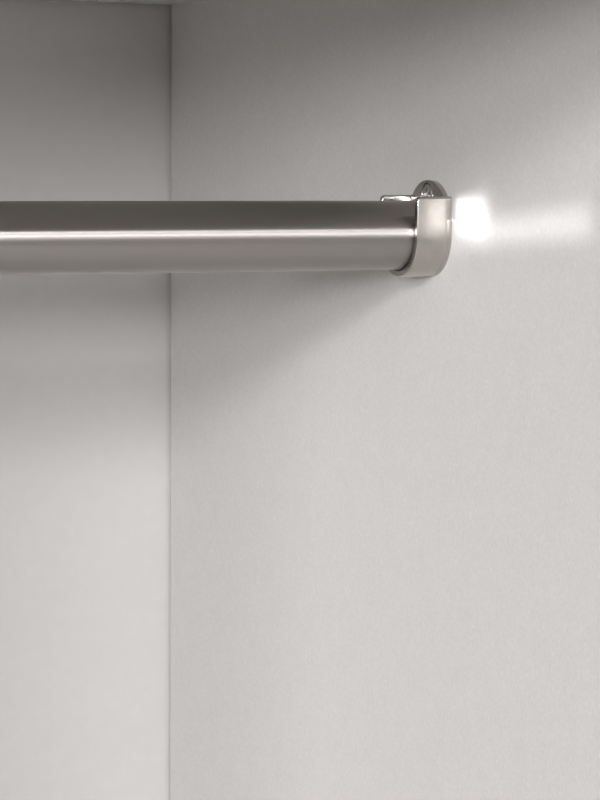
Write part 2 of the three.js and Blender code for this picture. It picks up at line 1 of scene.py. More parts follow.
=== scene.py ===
# %% [markdown]
# # A chifforobe, seen into the corner of its hanging compartment
#
# The carcass, its doors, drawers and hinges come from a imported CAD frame, and this script dresses it: it adds
# the camera, the lamps, the finishes and the small or smoothly rounded pieces that a CAD frame leaves plain.
# The first cell loads that frame. Every object in it is in metres, with +Z up and the front towards -Y, so a
# new piece can be placed with the numbers that the frame gives and needs no fitting afterwards.

# %% Load the frame
import math

import bmesh
import bpy
from mathutils import Matrix, Vector


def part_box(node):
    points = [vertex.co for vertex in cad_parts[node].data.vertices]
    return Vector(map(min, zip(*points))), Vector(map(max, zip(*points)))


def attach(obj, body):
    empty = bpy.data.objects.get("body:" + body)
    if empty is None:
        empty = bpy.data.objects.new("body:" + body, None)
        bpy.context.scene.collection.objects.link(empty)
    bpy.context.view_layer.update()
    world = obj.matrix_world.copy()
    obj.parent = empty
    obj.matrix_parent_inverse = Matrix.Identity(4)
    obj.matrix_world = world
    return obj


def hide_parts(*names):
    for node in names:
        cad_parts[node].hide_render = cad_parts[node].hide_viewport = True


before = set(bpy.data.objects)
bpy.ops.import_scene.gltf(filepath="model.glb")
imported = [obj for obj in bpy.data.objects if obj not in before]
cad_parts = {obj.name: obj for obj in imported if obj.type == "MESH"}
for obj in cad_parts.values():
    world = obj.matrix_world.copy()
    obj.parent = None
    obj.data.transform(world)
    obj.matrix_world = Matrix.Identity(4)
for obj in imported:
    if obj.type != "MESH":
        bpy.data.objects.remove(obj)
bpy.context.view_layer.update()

# %% [markdown]
# ## Sizes
#
# A joiner works in millimetres, Blender in metres, so `mm` converts as it is written: `18 * mm`. The places
# below are read from the frame's own boxes. The rail's middle and the inner face of the right-hand side panel
# are what most of the fittings are set out from.

# %% Sizes taken from the frame
mm = 0.001


def middle_of(node):
    low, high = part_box(node)
    return (low + high) / 2


rail_low, rail_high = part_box("hanging_rail")
rail_middle = middle_of("hanging_rail")
rail_radius = (rail_high.z - rail_low.z) / 2
side_low, side_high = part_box("side_right")
partition_low, partition_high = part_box("partition")
inner_x = side_low.x
front_y, rear_y = side_low.y, side_high.y
back_low, back_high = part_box("back_panel")
cad_play = 0.3 * mm  # what the frame leaves between a handle or a hinge cup and the face that carries it
print("rail axis at y", round(rail_middle.y / mm, 2), "z", round(rail_middle.z / mm, 2), "mm")

# %% [markdown]
# ## Camera
#
# The picture was taken standing in front of the open compartment with a long lens, level with the rail and
# turned to the right, into the rear corner. A camera can be aimed with a constraint, but here its position,
# turn, tilt and lean are known, so the three axes of its view are worked out and put straight into its matrix.
# Blender's camera looks along its own -Z with +Y up.

# %% Camera
camera_place = Vector((91.2, -734.7, 1692.7)) * mm
camera_turn = math.radians(24.93)  # from straight ahead, +Y, to the right
camera_tilt = math.radians(6.18)  # below level
camera_lean = math.radians(-0.46)
picture_focal = 2251 / 800  # focal length in heights of the picture
sensor = 36  # mm


def add_object(name, data):
    made = bpy.data.objects.new(name, data)
    bpy.context.scene.collection.objects.link(made)
    return made


def frame_matrix(origin, x_axis, y_axis, z_axis):
    """The matrix that puts a shape's own axes at the origin along the three given directions."""
    axes = Matrix((Vector(x_axis), Vector(y_axis), Vector(z_axis))).transposed().to_4x4()
    return Matrix.Translation(Vector(origin)) @ axes


level_forward = Vector((math.sin(camera_turn), math.cos(camera_turn), 0))
forward = level_forward * math.cos(camera_tilt) - Vector((0, 0, math.sin(camera_tilt)))
level_right = Vector((math.cos(camera_turn), -math.sin(camera_turn), 0))
level_down = forward.cross(level_right)
right = math.cos(camera_lean) * level_right + math.sin(camera_lean) * level_down
up = math.sin(camera_lean) * level_right - math.cos(camera_lean) * level_down

camera = add_object("camera", bpy.data.cameras.new("camera"))
camera.matrix_world = frame_matrix(camera_place, right, up, -forward)
camera.data.sensor_width = sensor
camera.data.lens = sensor * picture_focal
camera.data.clip_start = 10 * mm
bpy.context.scene.camera = camera
print("lens", round(camera.data.lens, 1), "mm, looking along", tuple(round(v, 3) for v in forward))

# %% [markdown]
# ## Colours and nodes
#
# A paint or plating is easiest to compare with a picture as an sRGB hex value, while a shader works in linear
# light, so one function converts. Materials are node trees. `add_node` adds a node, sets it and feeds its
# inputs, and `feed` does the last of these for a node that is already there, such as the shader. Every
# material starts with the same lines, which `new_finish` holds: it makes the material and hands back its tree,
# its Principled shader and the Object coordinates that its patterns read.

# %% Helpers for materials
def colour(hex_value):
    channels = [int(hex_value[i : i + 2], 16) / 255 for i in (1, 3, 5)]
    linear = [c / 12.92 if c <= 0.04045 else ((c + 0.055) / 1.055) ** 2.4 for c in channels]
    return (*linear, 1)


def feed(tree, node, inputs):
    """Sets or links inputs, by name or number. A node given as a value stands for its first output in use."""
    for name, value in inputs.items():
        if isinstance(value, bpy.types.Node):
            value = next(socket for socket in value.outputs if socket.enabled)
        if isinstance(value, bpy.types.NodeSocket):
            tree.links.new(value, node.inputs[name])
        else:
            node.inputs[name].default_value = value


def add_node(tree, kind, inputs=None, **settings):
    node = tree.nodes.new(kind)
    for name, value in settings.items():
        setattr(node, name, value)
    feed(tree, node, inputs or {})
    return node


def new_finish(name, **surface):
    """A material with one Principled shader, whose uniform values are given by socket name."""
    material = bpy.data.materials.new(name)
    material.use_nodes = True
    tree = material.node_tree
    shader = tree.nodes["Principled BSDF"]
    feed(tree, shader, {socket.replace("_", " "): value for socket, value in surface.items()})
    return material, tree, shader, add_node(tree, "ShaderNodeTexCoord").outputs["Object"]


# %% [markdown]
# ## Floor, surroundings and lamps
#
# The piece stands on a plain pale floor. The light is soft and comes from the front left: two low softboxes,
# one over the other, and a fainter pair almost straight ahead. Their two heights can be read from the shading
# under the ceiling and from the rail's shadow, which has two steps. The left pair stands far enough round for
# the partition to shade the rear of the side panel. All stand 8 m off, where their light falls off so slowly
# that the near corner of the piece stays pale and doesn't turn white. Their grids, `spread`, keep most of it
# off the floor below them. An even world light fills in. It is almost nothing from the front, where it would
# wash the shadows out, and more from above, behind and beside.
#
# The camera and mirrors see something else, through Light Path. To mirrors the studio is pale round the
# horizon and dark overhead, which is what gives chrome its contrast. To the camera the backdrop starts as grey
# as the far floor and grows paler upwards, so that no edge shows. The floor is pale to both, and throws back
# less light than it seems to, because a pale floor of this size would light the compartment from below.

# %% Floor
def seen_by_eye(tree):
    """1 where a ray comes from the camera, a mirror or a glass, 0 where it only carries light."""
    path = add_node(tree, "ShaderNodeLightPath")
    seen = path.outputs["Is Camera Ray"]
    for kind in ("Is Glossy Ray", "Is Transmission Ray"):
        seen = add_node(tree, "ShaderNodeMath", {0: seen, 1: path.outputs[kind]}, operation="MAXIMUM")
    return seen


def between(tree, factor, a, b):
    """A colour between two others, which are hex values or nodes."""
    a, b = (colour(end) if isinstance(end, str) else end for end in (a, b))
    return add_node(tree, "ShaderNodeMix", {"Factor": factor, "A": a, "B": b}, data_type="RGBA")


floor_half = 30
floor_mesh = bpy.data.meshes.new("floor")
corners = [(x * floor_half, y * floor_half, 0) for x, y in ((-1, -1), (1, -1), (1, 1), (-1, 1))]
floor_mesh.from_pydata(corners, [], [(0, 1, 2, 3)])
floor = add_object("floor", floor_mesh)
floor_paint, tree, shader, place = new_finish("studio_floor", Roughness=0.9)
grain = add_node(tree, "ShaderNodeTexNoise", {"Vector": place, "Scale": 1.7, "Detail": 3.0})
tint = between(tree, grain, "#DCDBD9", "#E3E2E0")
feed(tree, shader, {"Base Color": between(tree, seen_by_eye(tree), "#3C3C3B", tint)})
floor_mesh.materials.append(floor_paint)
print("floor", 2 * floor_half, "m wide at z 0")

# %% World
world = bpy.data.worlds.new("studio")
bpy.context.scene.world = world
world.use_nodes = True
tree = world.node_tree
world_front, world_rear, world_above = 0.02, 0.8, 0.75
mirrored_front, mirrored_rear, mirrored_high = 1.8, 0.85, 0.08
backdrop_low, backdrop_high = 0.5, 0.86
view_ray = add_node(tree, "ShaderNodeTexCoord").outputs["Generated"]
direction = add_node(tree, "ShaderNodeSeparateXYZ", {"Vector": view_ray})


def grade(axis, start, end, low, high):
    """A strength that goes from low to high as the direction's part along the axis goes from start to end."""
    ends = {"From Min": start, "From Max": end, "To Min": low, "To Max": high}
    return add_node(tree, "ShaderNodeMapRange", {"Value": direction.outputs[axis], **ends})


level = grade("Y", -0.75, 0.1, world_front, world_rear)
above = grade("Z", 0.45, 0.75, 0.0, world_above)
given = add_node(tree, "ShaderNodeMath", {0: level, 1: above}, operation="MAXIMUM")
mirrored = grade("Z", 0.36, 0.5, grade("Y", -0.6, -0.2, mirrored_front, mirrored_rear), mirrored_high)
backdrop = grade("Z", -0.02, 0.3, backdrop_low, backdrop_high)
rays = add_node(tree, "ShaderNodeLightPath").outputs["Is Camera Ray"]
seen = add_node(tree, "ShaderNodeMapRange", {"Value": rays, "To Min": mirrored, "To Max": backdrop})
strength = add_node(tree, "ShaderNodeMapRange", {"Value": seen_by_eye(tree), "To Min": given, "To Max": seen})
feed(tree, tree.nodes["Background"], {"Color": colour("#FBFBFC"), "Strength": strength})
print("world light from", world_front, "in front to", world_rear, "behind")


# %% Lamps
def softbox(name, aim, azimuth, elevation, distance, width, height, power, spread):
    """A rectangular area lamp. Azimuth is from -Y towards +X; all angles are in degrees, as seen from aim."""
    a, e = math.radians(azimuth), math.radians(elevation)
    outward = Vector((math.sin(a) * math.cos(e), -math.cos(a) * math.cos(e), math.sin(e)))
    lamp = bpy.data.lights.new(name, "AREA")
    lamp.shape = "RECTANGLE"
    lamp.size, lamp.size_y = width, height
    lamp.energy = power
    lamp.spread = math.radians(spread)
    lamp.color = colour("#FEFDFF")[:3]
    made = add_object(name, lamp)
    turn = outward.to_track_quat("Z", "Y").to_matrix().to_4x4()
    made.matrix_world = Matrix.Translation(aim + outward * distance) @ turn
    return made


# Each row: name, azimuth, elevation, width, height, power.
softboxes = [
    ("softbox_key", -42, 6.2, 3.2, 0.84, 53.8),
    ("softbox_upper", -42, 14.9, 2.9, 1.0, 59.5),
    ("softbox_front", -5, 8.4, 1.6, 0.87, 9.2),
    ("softbox_front_upper", -5, 20.5, 1.6, 1.09, 14.4),
]
softbox_distance, softbox_spread = 8, 80
corner = Vector((inner_x, rail_middle.y, rail_middle.z))
for name, azimuth, elevation, width, height, power in softboxes:
    softbox(name, corner, azimuth, elevation, softbox_distance, width, height, power, softbox_spread)

# %% [markdown]
# Two more lamps, a hand's breadth long at most, stand for light that the chrome throws back. The flat side of
# the socket throws a bright patch on the panel beside it, and the rail a streak that goes on from the patch
# towards the front. Path tracing would blur or lose such caustics. So a flat lamp hangs just off the panel
# before each of them, facing it, unseen by the camera and by mirrors. `spread` decides how soft its edge is.

# %% Light thrown on the side panel
beside_socket = corner + Vector((0, -27.5, 7.6)) * mm
beside_rail = corner + Vector((0, -62, 4.5)) * mm
glint = softbox("light_off_the_socket", beside_socket, -90, 0, 6 * mm, 20 * mm, 11.5 * mm, 0.0013, 100)
streak = softbox("light_off_the_rail", beside_rail, -90, 0, 20 * mm, 92 * mm, 6 * mm, 0.0012, 50)
glint.matrix_world @= Matrix.Rotation(math.radians(-18), 4, "Y")  # its front end stands off, for a softer edge
streak.matrix_world @= Matrix.Rotation(math.radians(5), 4, "Z")  # the streak rises a little towards the front
for lamp in (glint, streak):
    lamp.visible_camera = False
    lamp.visible_glossy = False

# %% [markdown]
# ## Melamine-faced board
#
# The panels, shelves, fronts and drawer bottoms are chipboard faced with paper soaked in melamine resin and
# pressed against a steel plate that has a very fine dull texture. It looks warm white, with faint cloudy
# mottling from the paper and a pearly grain of about half a millimetre, and it shines softly at grazing
# angles. An image could carry that, but noise on Object coordinates is sharp at any distance and continues
# over every panel. Only the edges at the rear of the carcass are left unbanded, so there, where y is
# greatest, the same material shows the pressed brown chips. `grained` adds what most finishes here share: one
# noise that varies the roughness and raises a shallow relief.

# %% Melamine
def mottled(tree, place, size, light, dark, softness=0.5):
    """A colour that wanders between two near tones in clouds of the given size in metres."""
    noise = {"Vector": place, "Scale": 1 / size, "Detail": 5.0, "Roughness": softness}
    return between(tree, add_node(tree, "ShaderNodeTexNoise", noise), dark, light)


def grained(tree, shader, place, grain, detail, roughness, strength, depth):
    """Gives the shader a grain: a range of roughness and a relief, both from one noise, which it returns."""
    noise = add_node(tree, "ShaderNodeTexNoise", {"Vector": place, "Scale": 1 / grain, "Detail": detail})
    low, high = roughness
    dull = add_node(tree, "ShaderNodeMapRange", {"Value": noise, "To Min": low, "To Max": high})
    relief = add_node(tree, "ShaderNodeBump", {"Height": noise, "Strength": strength, "Distance": depth})
    feed(tree, shader, {"Roughness": dull, "Normal": relief})
    return noise


melamine, tree, shader, place = new_finish("melamine_faced_chipboard", IOR=1.5)
facing = mottled(tree, place, 9 * mm, "#E5E3E1", "#DDDBD8", 0.65)
# The pearl of the press plate is about 0.5 mm, drawn at 1.2 mm, the finest that shows here.
pearl = grained(tree, shader, place, 1.2 * mm, 2.0, (0.20, 0.30), 0.12, 0.05 * mm)
pearl_tones = {"From Min": 0.3, "From Max": 0.7, "To Min": 0.955, "To Max": 1.03}
speck = add_node(tree, "ShaderNodeMapRange", {"Value": pearl, **pearl_tones})
speckled = add_node(tree, "ShaderNodeVectorMath", {0: facing, "Scale": speck}, operation="SCALE")

chips = add_node(tree, "ShaderNodeTexVoronoi", {"Vector": place, "Scale": 1 / (3 * mm)}, distance="MANHATTAN")
chip_tone = add_node(tree, "ShaderNodeSeparateColor", {"Color": chips.outputs["Color"]})
chipboard = between(tree, chip_tone, "#8E6F4B", "#C9AE86")
rear_edge = rear_y - 0.2 * mm
y = add_node(tree, "ShaderNodeSeparateXYZ", {"Vector": place}).outputs["Y"]
at_rear = add_node(tree, "ShaderNodeMath", {0: y, 1: rear_edge}, operation="GREATER_THAN")
feed(tree, shader, {"Base Color": between(tree, at_rear, speckled, chipboard)})
print("melamine: clouds 9 mm, pearl 1.2 mm")

# %% [markdown]
# ## Hardboard back
#
# The back is thin hardboard. Its face towards the compartment is lacquered white, a little cooler and duller
# than the panels. Its other face is bare brown fibre with the print of the wire screen it was pressed on.
# One material does both: it looks at which way the face points, by the y of the object's own normal.

# %% Hardboard
hardboard, tree, shader, place = new_finish("lacquered_hardboard", IOR=1.48)
lacquer = mottled(tree, place, 7 * mm, "#E6E5E3", "#DFDDDB", 0.6)
fibre = mottled(tree, place, 2.5 * mm, "#A98862", "#87664A", 0.8)
normal = add_node(tree, "ShaderNodeSeparateXYZ", {"Vector": place.node.outputs["Normal"]})
bare = add_node(tree, "ShaderNodeMath", {0: normal.outputs["Y"], 1: 0.5}, operation="GREATER_THAN")
# The screen has a wire every 1.5 mm, drawn every 3 mm.
weave = add_node(tree, "ShaderNodeTexVoronoi", {"Vector": place, "Scale": 1 / (3 * mm), "Randomness": 0.15})
brushed = add_node(tree, "ShaderNodeTexNoise", {"Vector": place, "Scale": 1 / (1.4 * mm), "Detail": 2.0})
height = add_node(tree, "ShaderNodeMix", {"Factor": bare, "A": brushed, "B": weave})
relief = add_node(tree, "ShaderNodeBump", {"Height": height, "Strength": 0.15, "Distance": 0.1 * mm})
rough = add_node(tree, "ShaderNodeMapRange", {"Value": bare, "To Min": 0.5, "To Max": 0.85})
feed(tree, shader, {"Base Color": between(tree, bare, lacquer, fibre), "Normal": relief, "Roughness": rough})
print("hardboard: lacquer in front, fibre behind")

# %% [markdown]
# ## Bright chrome on the rail
#
# The rail is steel tube, ground round and round and then nickel and chrome plated. It mirrors sharply across
# its width, while the grinding marks that run round it draw each reflection out along the tube. That is what
# an anisotropic surface does. Blender stretches the highlight along the tangent, so the tangent is the
# direction across the marks, the rail's own axis +X. The marks vary the roughness and the colour only a
# little: any more, and rings would show that the bright band on the real tube hasn't got.

# %% Chrome of the rail
tube_chrome, tree, shader, place = new_finish("bright_chrome_tube", Metallic=1.0, Anisotropic=1.0)
stretched = add_node(tree, "ShaderNodeMapping", {"Vector": place, "Scale": (1.0, 0.02, 0.02)})
# Grinding marks are some 0.05 mm apart, drawn 0.8 mm apart along the tube.
marks = add_node(tree, "ShaderNodeTexNoise", {"Vector": stretched, "Scale": 1 / (0.8 * mm), "Detail": 3.0})
mark_depths = {"From Min": 0.3, "From Max": 0.7, "To Min": 0.262, "To Max": 0.27}
polish = add_node(tree, "ShaderNodeMapRange", {"Value": marks, **mark_depths})
lengthwise = add_node(tree, "ShaderNodeCombineXYZ", {"X": 1.0})
marked = between(tree, marks, "#9D9995", "#9F9B97")
feed(tree, shader, {"Base Color": marked, "Roughness": polish, "Tangent": lengthwise})
print("tube chrome: marks round the tube")

# %% [markdown]
# ## Satin plating on the sockets, chrome on the handles
#
# The sockets are die-cast zinc, tumbled and plated, so they have the same metal colour with a slightly grainy
# satin skin: a rougher mirror with a shallow bump about as fine as the casting's grain. The bow handles are
# drawn rod, polished before plating, and smoother.

# %% Plated fittings
def plated(name, light, dark, roughness, grain, depth, anisotropy=0.0):
    material, tree, shader, place = new_finish(name, Metallic=1.0, Anisotropic=anisotropy)
    if anisotropy:
        feed(tree, shader, {"Tangent": add_node(tree, "ShaderNodeCombineXYZ", {"X": 1.0, "Z": 0.1})})
    feed(tree, shader, {"Base Color": mottled(tree, place, 4 * grain, light, dark, 0.7)})
    grained(tree, shader, place, grain, 3.0, roughness, 0.2, depth)
    return material


socket_satin = plated("satin_plated_zinc", "#BFBBB6", "#AFABA5", (0.12, 0.20), 0.7 * mm, 0.02 * mm, 0.5)
handle_chrome = plated("polished_chrome_rod", "#D8D6D4", "#CDCBC8", (0.05, 0.11), 3 * mm, 0.004 * mm)
hinge_nickel = plated("nickel_plated_steel", "#C9C4BA", "#B5AFA4", (0.22, 0.36), 0.9 * mm, 0.02 * mm)
screw_zinc = plated("zinc_plated_screws", "#C4C3C0", "#A9A8A5", (0.24, 0.40), 0.6 * mm, 0.02 * mm)
print("plated:", [m.name for m in (socket_satin, handle_chrome, hinge_nickel, screw_zinc)])

# %% [markdown]
# ## Epoxy-coated steel, nylon and moulded plastic
#
# Drawer sides and runners are folded steel with a white epoxy powder coat, which flows into a faint orange
# peel a few millimetres across. The rollers are natural nylon, slightly yellow and waxy. The legs are black
# polypropylene with the fine spark-eroded texture of their mould. Each is a noise for colour and a noise for
# relief on the same plan, so one function makes them all.

# %% Coatings and plastics
def moulded(name, light, dark, roughness, index, texture, depth):
    material, tree, shader, place = new_finish(name, IOR=index)
    feed(tree, shader, {"Base Color": mottled(tree, place, 6 * texture, light, dark)})
    grained(tree, shader, place, texture, 2.0, (roughness - 0.05, roughness + 0.05), 0.25, depth)
    return material


epoxy_white = moulded("epoxy_coated_steel", "#EAEAE7", "#E1E1DD", 0.36, 1.52, 2.5 * mm, 0.06 * mm)
nylon = moulded("natural_nylon", "#E9E4D6", "#DDD7C6", 0.42, 1.53, 1.5 * mm, 0.03 * mm)
black_plastic = moulded("moulded_polypropylene", "#222223", "#19191A", 0.55, 1.49, 0.9 * mm, 0.05 * mm)
cap_plastic = moulded("white_cap_plastic", "#EDEAE4", "#E5E2DC", 0.40, 1.49, 1.2 * mm, 0.03 * mm)
print("moulded:", [m.name for m in (epoxy_white, nylon, black_plastic, cap_plastic)])

# %% Finishes on the CAD nodes
slot_finish = {
    "melamine_board": melamine,
    "back_board": hardboard,
    "chrome": handle_chrome,
    "nickel_steel": hinge_nickel,
    "enamelled_steel": epoxy_white,
    "leg_plastic": black_plastic,
}
counts = {}
for name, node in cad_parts.items():
    slot = node.data.materials[0].name.split(".")[0]
    node.data.materials[0] = slot_finish[slot]
    counts[slot] = counts.get(slot, 0) + 1
print("slots:", counts)

# %% [markdown]
# ## Round and filleted pieces
#
# What the CAD frame draws with flat facets is smooth metal on the real thing: the rail, its sockets, the
# handles, the hinge cups and the legs. All of them are skins over a row of rings, whether they are turned on a
# lathe, bent from rod or swept along a path. `skin` joins each ring to the next with quads, and a ring of one
# point is a pole. That keeps the faces even and the edges rounded exactly where they are asked to be, which a
# Bevel modifier on a boolean result would not.


# %% Helpers for meshes
def skin(mesh_data, rings, place, closed=False):
    """Faces between successive rings of points. Closed joins the last to the first; open ends get a cap."""
    made = [[mesh_data.verts.new(place @ Vector(point)) for point in ring] for ring in rings]
    pairs = list(zip(made, made[1:])) + ([(made[-1], made[0])] if closed else [])
    for one, two in pairs:
        count = max(len(one), len(two))
        for i in range(count):
            j = (i + 1) % count
            corners = [one[i % len(one)], one[j % len(one)], two[j % len(two)], two[i % len(two)]]
            mesh_data.faces.new(list(dict.fromkeys(corners)))
    if not closed:
        for end in (made[0], made[-1]):
            if len(end) > 1:
                mesh_data.faces.new(end)


def circle(radius, z, count):
    """A ring of points round local Z, or its one point where the radius is 0."""
    if radius == 0:
        return [(0, 0, z)]
    turns = [2 * math.pi * i / count for i in range(count)]
    return [(radius * math.cos(t), radius * math.sin(t), z) for t in turns]


def turned(mesh_data, profile, segments, place, closed=False):
    """A turned shape round local Z: profile lists (radius, height), and radius 0 is a pole."""
    skin(mesh_data, [circle(r, z, segments) for r, z in profile], place, closed)


def fillet(centre_r, centre_z, radius, start, end, steps=4):
    """Points of a rounded edge in a profile. The angles are in degrees, 0 outward and 90 up."""
    angles = [math.radians(start + (end - start) * i / steps) for i in range(steps + 1)]
    return [(centre_r + radius * math.cos(a), centre_z + radius * math.sin(a)) for a in angles]


def solid(mesh_data):
    """Makes mesh data a closed mesh whose faces point outwards."""
    bmesh.ops.remove_doubles(mesh_data, verts=mesh_data.verts, dist=1e-7)
    bmesh.ops.recalc_face_normals(mesh_data, faces=mesh_data.faces)
    mesh = bpy.data.meshes.new("solid")
    mesh_data.to_mesh(mesh)
    mesh_data.free()
    return mesh


def evaluated_mesh(made, *helpers):
    """The mesh that an object's modifier gives. The modifier, the object and its helpers are removed."""
    evaluated = made.evaluated_get(bpy.context.evaluated_depsgraph_get())
    mesh = bpy.data.meshes.new_from_object(evaluated)
    made.modifiers.clear()
    for used in (made, *helpers):
        bpy.data.objects.remove(used)
    return mesh


# The slot that a piece's finish belongs to: those of the CAD nodes, and the finishes near them.
finish_slots = {finish.name: slot for slot, finish in slot_finish.items()}
finish_slots |= {tube_chrome.name: "chrome", socket_satin.name: "chrome"}
finish_slots |= {screw_zinc.name: "nickel_steel", cap_plastic.name: "melamine_board"}


def show(name, mesh, finish, body, *nodes, sharp_angle=38):
    """Makes the mesh a piece that rides on a body and stands for the CAD nodes, in a finish."""
    mesh.name = name
    mesh.shade_smooth()
    mesh.set_sharp_from_angle(angle=math.radians(sharp_angle))
    mesh.materials.clear()
    mesh.materials.append(finish)
    made = add_object(name, mesh)
    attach(made, body)
    if nodes:
        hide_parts(*nodes)
    print(name, "rides on", body, "with", len(mesh.polygons), "faces")


x_up, y_up, z_up = Vector((1, 0, 0)), Vector((0, 1, 0)), Vector((0, 0, 1))
along_x = frame_matrix((0, 0, 0), y_up, z_up, x_up)

# %% [markdown]
# ## Hanging rail
#
# A chromed steel tube, 25 mm across with a wall of 1.2 mm, cut square and deburred. It is one closed turned
# profile that goes along the outside, round the deburred end, back through the bore and round again.

# %% Rail
rail_wall = 1.2 * mm
deburr = 0.3 * mm
x0, x1 = rail_low.x, rail_high.x
bore = rail_radius - rail_wall
profile = [(rail_radius, x0 + deburr), (rail_radius, x1 - deburr), (rail_radius - deburr, x1)]
profile += [(bore, x1), (bore, x0), (rail_radius - deburr, x0)]
mesh_data = bmesh.new()
turned(mesh_data, profile, 144, Matrix.Translation((0, rail_middle.y, rail_middle.z)) @ along_x, closed=True)
show("rail_tube", solid(mesh_data), tube_chrome, "carcass", "hanging_rail")

# %% [markdown]
# ## Rail sockets
#
# Each end of the rail drops into a cast cup, open at the top, on a flange that is screwed to the panel. The
# cup is a rounded bar bent into a U: a ring of 20 points swept down one arm, round the tube and up the other.
# Towards the top of each arm the ring shrinks, so the arm's end is rounded over, most at its outer corner.
# The flange is a plate with two round ends and a countersunk hole above the cup. The cup stays clear of the
# tube by a quarter of a millimetre, which shows as the fine dark line between them.

# %% Rail sockets
socket_depth, socket_wall, socket_play = 14 * mm, 2.4 * mm, 0.25 * mm
arm_top = 14.3 * mm
flange_radius, flange_rise, flange_thickness = 15.2 * mm, 4.8 * mm, 2.2 * mm
ear_screw_rise, hole_radius, sink_radius = 15 * mm, 2.1 * mm, 4.1 * mm
cup_inner = rail_radius + socket_play
cup_edge, end_round = 0.55 * mm, 1.8 * mm


def rounded_section(u0, u1, v0, v1, radius, steps=4):
    """Points of a rectangle in u and v with rounded corners, anticlockwise."""
    points = []
    for cu, cv, start in ((u1, v1, 0), (u0, v1, 90), (u0, v0, 180), (u1, v0, 270)):
        su = -1 if cu == u1 else 1
        sv = -1 if cv == v1 else 1
        points += fillet(cu + su * radius, cv + sv * radius, radius, start, start + 90, steps)
    return points


def rounding(radius, from_end):
    """How far a rounded corner is cut back at a distance from its end."""
    t = min(from_end, radius)
    return radius - math.sqrt(radius**2 - (radius - t) ** 2)


def arm_ring(point, outward, from_top):
    """The section of the cup's bar at a point of its path: u runs outward, v away from the wall."""
    cut = rounding(end_round, from_top)
    ease = rounding(2 * cup_edge, from_top) * 0.8
    section = rounded_section(0.2 * ease, socket_wall - ease, 0.0, socket_depth - cut, cup_edge - 0.3 * ease)
    return [(point.x + u * outward.x, point.y + u * outward.y, v) for u, v in section]


def cup_rings():
    falls = [end_round * (1 - math.cos(math.radians(90) * i / 6)) for i in range(7)]
    falls += [arm_top * 0.4, arm_top * 0.7]
    rings = [arm_ring(Vector((-cup_inner, arm_top - f)), Vector((-1, 0)), f) for f in falls]
    for i in range(41):
        a = math.pi + math.pi * i / 40
        outward = Vector((math.cos(a), math.sin(a)))
        rings.append(arm_ring(outward * cup_inner, outward, arm_top))
    rings += [arm_ring(Vector((cup_inner, arm_top - f)), Vector((1, 0)), f) for f in reversed(falls)]
    return rings


def stadium(inset, z, steps=32):
    """The flange's outline: a ring round two half circles, one about the rail's axis and one above it."""
    radius = flange_radius - inset
    ring = []
    for centre, start in ((flange_rise, 0), (0, math.pi)):
        for i in range(steps + 1):
            a = start + math.pi * i / steps
            ring.append((radius * math.cos(a), centre + radius * math.sin(a), z))
    return ring


def flange_mesh(place):
    """The flange with its countersunk hole, cut by a boolean on temporary objects."""
    ease = 0.3 * mm
    rings = [stadium(0, 0), stadium(0, flange_thickness - ease)]
    rings += [stadium(0.3 * ease, flange_thickness - 0.3 * ease), stadium(ease, flange_thickness)]
    below, above, rim = -1 * mm, 4 * mm, flange_thickness + 0.02 * mm
    sink = [(0, below), (hole_radius, below), (hole_radius, 0)]
    sink += [(sink_radius, rim), (sink_radius, above), (0, above)]
    plate_data, sink_data = bmesh.new(), bmesh.new()
    skin(plate_data, rings, place)
    turned(sink_data, sink, 48, place @ Matrix.Translation((0, ear_screw_rise, 0)))
    plate, cutter = add_object("plate", solid(plate_data)), add_object("sink", solid(sink_data))
    cut = plate.modifiers.new("countersink", "BOOLEAN")
    cut.operation, cut.solver, cut.object = "DIFFERENCE", "EXACT", cutter
    return evaluated_mesh(plate, cutter)


socket_places = {
    "rail_socket_right": frame_matrix((inner_x, rail_middle.y, rail_middle.z), -y_up, z_up, -x_up),
    "rail_socket_left": frame_matrix((partition_high.x, rail_middle.y, rail_middle.z), y_up, z_up, x_up),
}
for name, place in socket_places.items():
    mesh_data = bmesh.new()
    mesh_data.from_mesh(flange_mesh(place))
    skin(mesh_data, cup_rings(), place)
    show(name + "_casting", solid(mesh_data), socket_satin, "carcass", name, sharp_angle=30)

# %% [markdown]
# ## Bow handles
#
# Ten-millimetre rod bent twice into a bow, on two small turned feet. The rod is a ring carried along its path,
# always square to it, and its mirror finish shows any facet, so it gets 28 points round and 10 steps to a bend.

# %% Handles
handle_reach, handle_radius, handle_bend = 32 * mm, 5 * mm, 13 * mm
foot_radius, foot_height, foot_edge = 7.5 * mm, 3 * mm, 1 * mm
handle_span = 128 * mm


def bow(mesh_data, place):
    """A handle along local X that stands out along local Y."""
    half = handle_span / 2
    path = [(Vector((half, cad_play, 0)), 0.0)]
    for centre, start in ((half - handle_bend, 0), (handle_bend - half, 90)):
        for i in range(11):
            a = math.radians(start + 9 * i)
            out = handle_reach - handle_bend + handle_bend * math.sin(a)
            path.append((Vector((centre + handle_bend * math.cos(a), out, 0)), a))
    path.append((Vector((-half, cad_play, 0)), math.pi))
    rings = []
    for point, a in path:
        side = Vector((math.cos(a), math.sin(a), 0))
        rings.append([point + x * side + y * z_up for x, y, _ in circle(handle_radius, 0, 28)])
    skin(mesh_data, rings, place)
    foot = [(0, cad_play), (foot_radius, cad_play)]
    foot += fillet(foot_radius - foot_edge, foot_height - foot_edge, foot_edge, 0, 90) + [(0, foot_height)]
    for x in (-half, half):
        turned(mesh_data, foot, 40, place @ frame_matrix((x, 0, 0), z_up, x_up, y_up))


